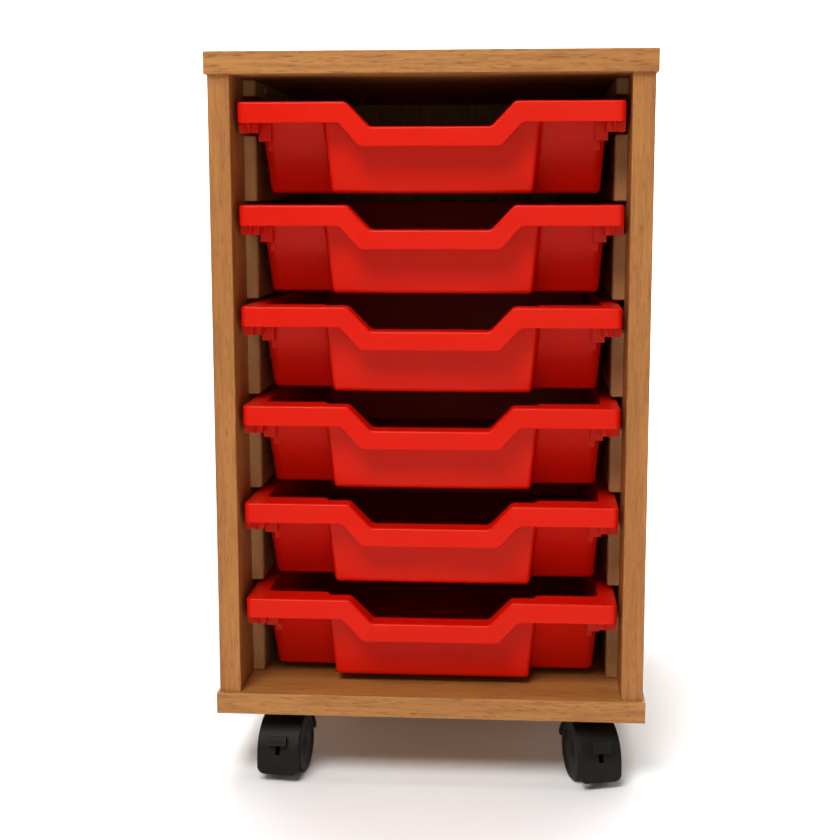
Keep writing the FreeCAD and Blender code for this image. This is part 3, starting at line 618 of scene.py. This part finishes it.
@dataclass
class CrossScrew:
    """Screw with a cross recess, thread ridges and a point, drawn along +Z from its driven face."""

    form: HeadForm
    head_radius: float
    head_height: float
    shank_radius: float
    length: float
    steps: int = 20
    thread_pitch: float = 1.8 * MILLIMETRE
    thread_depth: float = 0.3 * MILLIMETRE
    cross_reach: float = 0.52
    cross_half_width: float = 0.13
    cross_depth: float = 0.7
    cross_taper: float = 0.55

    def profile(self) -> list[tuple[float, float]]:
        """Outline of the turned form, from the middle of the driven face to the point.

        Returns:
            Radius and height of each point.
        """
        outline = [(0.0, 0.0)]
        for out, down in self.form.value:
            outline.append((self.head_radius * out, self.head_height * down))
        outline.append((self.shank_radius, self.head_height))
        ridges = int((self.length - self.head_height) / self.thread_pitch) - 2
        start = self.head_height + self.thread_pitch
        root = self.shank_radius - self.thread_depth
        for index in range(ridges):
            level = start + index * self.thread_pitch
            outline.append((root, level))
            outline.append((self.shank_radius, level + self.thread_pitch / 2))
        outline.append((root, start + ridges * self.thread_pitch))
        outline.append((0.0, self.length))
        return outline

    def add_to(self, mesh: bmesh.types.BMesh, place: Matrix) -> None:
        """Adds the screw to a mesh.

        Args:
            mesh: Mesh that gets the screw.
            place: Place and direction of the driven face, with +Z towards the point.
        """
        made = lathe(mesh, self.profile(), self.steps)
        inside = set(made)
        driven = dict.fromkeys(
            face for vertex in made for face in vertex.link_faces
            if all(corner in inside and abs(corner.co.z) < TINY for corner in face.verts)
        )
        merged = bmesh.ops.dissolve_faces(mesh, faces=list(driven), use_verts=True)
        made = [vertex for vertex in made if vertex.is_valid]
        made += self.recess(mesh, merged["region"])
        bmesh.ops.transform(mesh, matrix=place, verts=list(dict.fromkeys(made)))

    def recess(
        self, mesh: bmesh.types.BMesh, driven: list[bmesh.types.BMFace]
    ) -> list[bmesh.types.BMVert]:
        """Sinks a cross into the driven face.

        Args:
            mesh: Mesh that holds the screw.
            driven: The flat driven face.

        Returns:
            Vertices that the cross adds.
        """
        before = set(mesh.verts)
        reach = self.head_radius * self.cross_reach
        half_slot = self.head_radius * self.cross_half_width
        depth = self.head_height * self.cross_depth
        region = list(driven)
        for normal in (Vector((1, 0, 0)), Vector((0, 1, 0))):
            for offset in (-reach, -half_slot, half_slot, reach):
                edges = dict.fromkeys(edge for face in region for edge in face.edges)
                corners = dict.fromkeys(corner for face in region for corner in face.verts)
                geometry = [*region, *edges, *corners]
                cut = bmesh.ops.bisect_plane(
                    mesh, geom=geometry, plane_co=normal * offset, plane_no=normal
                )
                region = [item for item in cut["geom"] if isinstance(item, bmesh.types.BMFace)]
        cross = []
        for face in region:
            middle = face.calc_center_median()
            near, far = sorted((abs(middle.x), abs(middle.y)))
            if near < half_slot and far < reach:
                cross.append(face)
        sunk = bmesh.ops.extrude_face_region(mesh, geom=cross)
        bmesh.ops.delete(mesh, geom=cross, context="FACES_ONLY")
        floor = [item for item in sunk["geom"] if isinstance(item, bmesh.types.BMVert)]
        bmesh.ops.translate(mesh, vec=(0, 0, depth), verts=floor)
        bmesh.ops.scale(mesh, vec=(self.cross_taper, self.cross_taper, 1), verts=floor)
        return [vertex for vertex in mesh.verts if vertex not in before]


@dataclass
class Fasteners:
    """Screws that hold the runners and the castor plates.

    A point of a plain screw is on its axis within axis_share of the head's radius, and on its shank
    within shank_share of the shank's.
    """

    palette: Palette
    axis_share: float = 0.2
    shank_share: float = 1.02

    def build(self) -> None:
        """Builds the three sets of screws in place of their plain solids."""
        self.build_set("castor_screws", Vector((0, 0, 1)), HeadForm.PAN)
        self.build_set("left_runner_screws", Vector((-1, 0, 0)), HeadForm.COUNTERSUNK)
        self.build_set("right_runner_screws", Vector((1, 0, 0)), HeadForm.COUNTERSUNK)

    def build_set(self, node: str, inward: Vector, form: HeadForm) -> None:
        """Builds the screws of one node.

        Args:
            node: Name of the CAD node.
            inward: Direction from the driven face to the point.
            form: Form of the heads.
        """
        mesh = bmesh.new()
        for points in solids_of(node):
            self.add_screw(mesh, points, inward, form)
        name = f"{node}_detailed"
        piece = finished_piece(mesh, name, "cabinet", self.palette.screw)
        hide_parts(node)

    def add_screw(
        self, mesh: bmesh.types.BMesh, points: list[Vector], inward: Vector, form: HeadForm
    ) -> None:
        """Adds a screw that takes the place of one plain solid.

        Args:
            mesh: Mesh that gets the screw.
            points: Vertices of the plain solid.
            inward: Direction from the driven face to the point.
            form: Form of the head.
        """
        low, high = box_of(points)
        middle = (low + high) / 2
        levels = [point.dot(inward) for point in points]
        start = min(levels)
        radii = [
            (point - middle - inward * (point - middle).dot(inward)).length for point in points
        ]
        head = max(radii)
        shank = min(radius for radius in radii if radius > head * self.axis_share)
        limit = shank * self.shank_share
        wide = [level for level, radius in zip(levels, radii) if radius > limit]
        narrow = [level for level, radius in zip(levels, radii) if radius < limit]
        height = (max(wide) if form is HeadForm.PAN else min(narrow)) - start
        screw = CrossScrew(form, head, height, shank, max(levels) - start)
        origin = middle + inward * (start - middle.dot(inward))
        screw.add_to(mesh, Matrix.Translation(origin) @ turn_to(inward))


@dataclass
class CastorWheel:
    """Wheel of a twin-wheel castor, turned about its axle."""

    node: str
    body: str
    centre: Vector
    axis: Vector
    palette: Palette
    steps: int = 72
    arc_steps: int = 4
    edge: float = 2.4 * MILLIMETRE
    bore_radius: float = 3.05 * MILLIMETRE
    end_wall: float = 1.5 * MILLIMETRE
    dish_radius: float = 18.5 * MILLIMETRE
    dish_depth: float = 0.6 * MILLIMETRE
    dish_slope: float = 1.4 * MILLIMETRE
    cap_radius: float = 5.5 * MILLIMETRE
    cap_edge: float = 0.4 * MILLIMETRE
    groove_places: tuple[float, ...] = (0.22, 0.5, 0.78)
    groove_depth: float = 0.35 * MILLIMETRE
    groove_half_width: float = 0.35 * MILLIMETRE

    def outward(self) -> tuple[Vector, float, float, float]:
        """Measures the plain wheel from its centre.

        Returns:
            Direction of the outer face, levels of the inner and outer faces in it, and the radius.
        """
        points = [vertex.co - self.centre for vertex in frame["nodes"][self.node].data.vertices]
        reach = [point.dot(self.axis) for point in points]
        direction = self.axis if sum(reach) > 0 else -self.axis
        levels = [point.dot(direction) for point in points]
        radius = max((point - direction * point.dot(direction)).length for point in points)
        return direction, min(levels), max(levels), radius

    def profile(self, near: float, far: float, radius: float) -> list[tuple[float, float]]:
        """Outline of the wheel from the bore's end, round the tread, to the middle of the cap.

        Args:
            near: Level of the inner face.
            far: Level of the outer face.
            radius: Radius of the tread.

        Returns:
            Radius and level of each point.
        """
        bottom = far - self.end_wall
        outline = [(0.0, bottom), (self.bore_radius, bottom), (self.bore_radius, near)]
        shares = [index / self.arc_steps for index in range(self.arc_steps + 1)]
        for share in shares:
            angle = math.pi / 2 * share
            reach = radius - self.edge * (1 - math.sin(angle))
            outline.append((reach, near + self.edge * (1 - math.cos(angle))))
        tread = far - near - 2 * self.edge
        for share in self.groove_places:
            level = near + self.edge + tread * share
            outline += [
                (radius, level - self.groove_half_width),
                (radius - self.groove_depth, level),
                (radius, level + self.groove_half_width),
            ]
        for share in shares:
            angle = math.pi / 2 * share
            reach = radius - self.edge * (1 - math.cos(angle))
            outline.append((reach, far - self.edge * (1 - math.sin(angle))))
        for share in shares:
            fall = self.dish_depth * (1 - math.cos(math.pi * share)) / 2
            outline.append((self.dish_radius + self.dish_slope * (0.5 - share), far - fall))
        floor = far - self.dish_depth
        outline += [
            (self.cap_radius + self.cap_edge, floor),
            (self.cap_radius, floor + self.cap_edge / 2),
            (self.cap_radius - self.cap_edge, far),
            (0.0, far),
        ]
        return outline

    def build(self) -> None:
        """Builds the wheel in place of its plain solid."""
        direction, near, far, radius = self.outward()
        mesh = bmesh.new()
        lathe(mesh, self.profile(near, far, radius), self.steps)
        place = Matrix.Translation(self.centre) @ turn_to(direction)
        bmesh.ops.transform(mesh, matrix=place, verts=mesh.verts)
        name = f"{self.node}_turned"
        piece = finished_piece(mesh, name, self.body, self.palette.wheel)
        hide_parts(self.node)


@dataclass
class CastorSet:
    """The four castors."""

    palette: Palette
    corners: tuple[str, ...] = ("front_left", "front_right", "rear_left", "rear_right")

    def build(self) -> None:
        """Dresses the hoods, plates, pins and levers, and builds the wheels."""
        joints = {joint["name"]: joint for joint in frame["joints"]}
        for corner in self.corners:
            finish_nodes([f"{corner}_hood"], self.palette.hood)
            metal = [f"{corner}_{piece}" for piece in ("plate", "kingpin", "axle")]
            finish_nodes(metal, self.palette.bracket)
            lever = f"{corner}_brake_lever"
            if lever in frame["nodes"]:
                finish_nodes([lever], self.palette.lever)
            for hand in ("left", "right"):
                joint = joints[f"{corner}_{hand}_wheel_spin"]
                wheel = CastorWheel(
                    node=f"{corner}_wheel_{hand}",
                    body=joint["child"],
                    centre=Vector(joint["pos_m"]),
                    axis=Vector(joint["axis"]).normalized(),
                    palette=self.palette,
                )
                wheel.build()


# --- Studio ---------------------------------------------------------------------------------------


@dataclass(frozen=True)
class SoftLight:
    """Square area light, with its side in metres, its power in watts and its spread in degrees."""

    name: str
    place: tuple[float, float, float]
    target: tuple[float, float, float]
    size: float
    power: float
    spread: float = 180.0
    colour: tuple[float, float, float] = (1.0, 1.0, 1.0)

    def build(self) -> None:
        """Adds the light, turned towards its target."""
        data = bpy.data.lights.new(self.name, "AREA")
        data.shape = "SQUARE"
        data.size = self.size
        data.energy = self.power
        data.color = self.colour
        data.spread = math.radians(self.spread)
        light = bpy.data.objects.new(self.name, data)
        light.location = self.place
        aim = Vector(self.target) - Vector(self.place)
        light.rotation_euler = aim.to_track_quat("-Z", "Y").to_euler()
        light.visible_camera = False
        bpy.context.scene.collection.objects.link(light)


@dataclass
class Studio:
    """Pale floor that curves up behind the unit, soft lights and the camera."""

    half_width: float = 6.0
    front: float = -6.0
    rear: float = 3.5
    height: float = 6.0
    cove: float = 1.6
    cove_segments: int = 16
    paper_pale: Colour = screen_colour(249, 249, 249)
    paper_deep: Colour = screen_colour(246, 246, 245)
    world_strength: float = 0.09
    lit_radius: float = 1.5
    glow_radius: float = 4.0
    glow_strength: float = 0.6
    camera_place: tuple[float, float, float] = (0.0820, -1.4353, 0.4975)
    camera_pitch: float = -8.636
    camera_turn: float = 4.224
    camera_roll: float = 0.056
    lens: float = 64.47
    sensor: float = 36.0
    unit_middle: tuple[float, float, float] = (0.0, 0.0, 0.32)

    def build(self) -> None:
        """Builds the studio."""
        self.build_floor()
        self.build_world()
        for light in self.lights():
            light.build()
        self.build_camera()

    def lights(self) -> list[SoftLight]:
        """Places lights above and before the unit, and over the floor and the cove behind it.

        Returns:
            The lights.
        """
        unit = self.unit_middle
        return [
            SoftLight(
                "key_light", place=(-0.5, -1.95, 2.45), target=unit, size=1.3, power=12.6,
                spread=70.0,
            ),
            SoftLight(
                "fill_light", place=(0.3, -3.2, 0.75), target=unit, size=1.4, power=10.3,
                colour=(1.0, 0.9, 0.72),
            ),
            SoftLight(
                "floor_light", place=(0.0, 0.8, 3.2), target=(0.0, 0.6, 0.0), size=2.6, power=76.0
            ),
            SoftLight(
                "wall_light", place=(0.0, 1.2, 3.4), target=(0.0, 3.5, 1.4), size=2.6, power=110.0
            ),
        ]

    def build_floor(self) -> None:
        """Adds the floor and its cove, which glow far from the unit, where the lights are weak."""
        mesh = bmesh.new()
        corners = [(-self.half_width, self.front), (self.half_width, self.front)]
        corners += [(self.half_width, self.rear), (-self.half_width, self.rear)]
        floor = mesh.faces.new([mesh.verts.new((x, y, 0)) for x, y in corners])
        crease = next(edge for edge in floor.edges if all(v.co.y == self.rear for v in edge.verts))
        wall = bmesh.ops.extrude_edge_only(mesh, edges=[crease])
        raised = [item for item in wall["geom"] if isinstance(item, bmesh.types.BMVert)]
        bmesh.ops.translate(mesh, vec=(0, 0, self.height), verts=raised)
        bmesh.ops.bevel(
            mesh, geom=[crease], offset=self.cove, segments=self.cove_segments, profile=0.5,
            affect="EDGES", material=-1,
        )
        data = bpy.data.meshes.new("studio_floor")
        mesh.to_mesh(data)
        mesh.free()
        data.shade_smooth()
        graph = ShaderGraph("studio_paper", {"Roughness": 0.9, "Specular IOR Level": 0.1})
        drift = graph.noise(NoiseLayer(even(1.5)))
        graph.paint(graph.blend(drift, self.paper_deep, self.paper_pale))
        fall = graph.fall_off(self.glow_radius)
        ring = (1.0 - self.lit_radius / self.glow_radius, 0.0)
        graph.glow(WHITE, graph.spread(fall, ring, (0.0, self.glow_strength)))
        data.materials.append(graph.material)
        floor_object = bpy.data.objects.new("studio_floor", data)
        bpy.context.scene.collection.objects.link(floor_object)

    def build_world(self) -> None:
        """Adds an even pale surround."""
        scene = bpy.context.scene
        world = bpy.data.worlds.new("studio_surround")
        world.use_nodes = True
        background = world.node_tree.nodes["Background"]
        background.inputs["Color"].default_value = WHITE
        background.inputs["Strength"].default_value = self.world_strength
        scene.world = world
        scene.view_settings.view_transform = "Standard"

    def build_camera(self) -> None:
        """Adds the camera in front of the unit."""
        data = bpy.data.cameras.new("front_camera")
        data.lens = self.lens
        data.sensor_width = self.sensor
        camera = bpy.data.objects.new("front_camera", data)
        turn = Matrix.Rotation(math.radians(self.camera_turn), 4, "Z")
        tilt = Matrix.Rotation(math.radians(90 + self.camera_pitch), 4, "X")
        roll = Matrix.Rotation(math.radians(-self.camera_roll), 4, "Z")
        camera.matrix_world = Matrix.Translation(self.camera_place) @ turn @ tilt @ roll
        bpy.context.scene.collection.objects.link(camera)
        bpy.context.scene.camera = camera


def main() -> None:
    """Builds the studio and dresses every sub-assembly."""
    logging.basicConfig(level=logging.INFO, format="%(name)s: %(message)s")
    Studio().build()
    palette = Palette()
    Carcass(palette).dress()
    TrayStack(palette).dress()
    Fasteners(palette).build()
    CastorSet(palette).build()


if __name__ == "__main__":
    main()
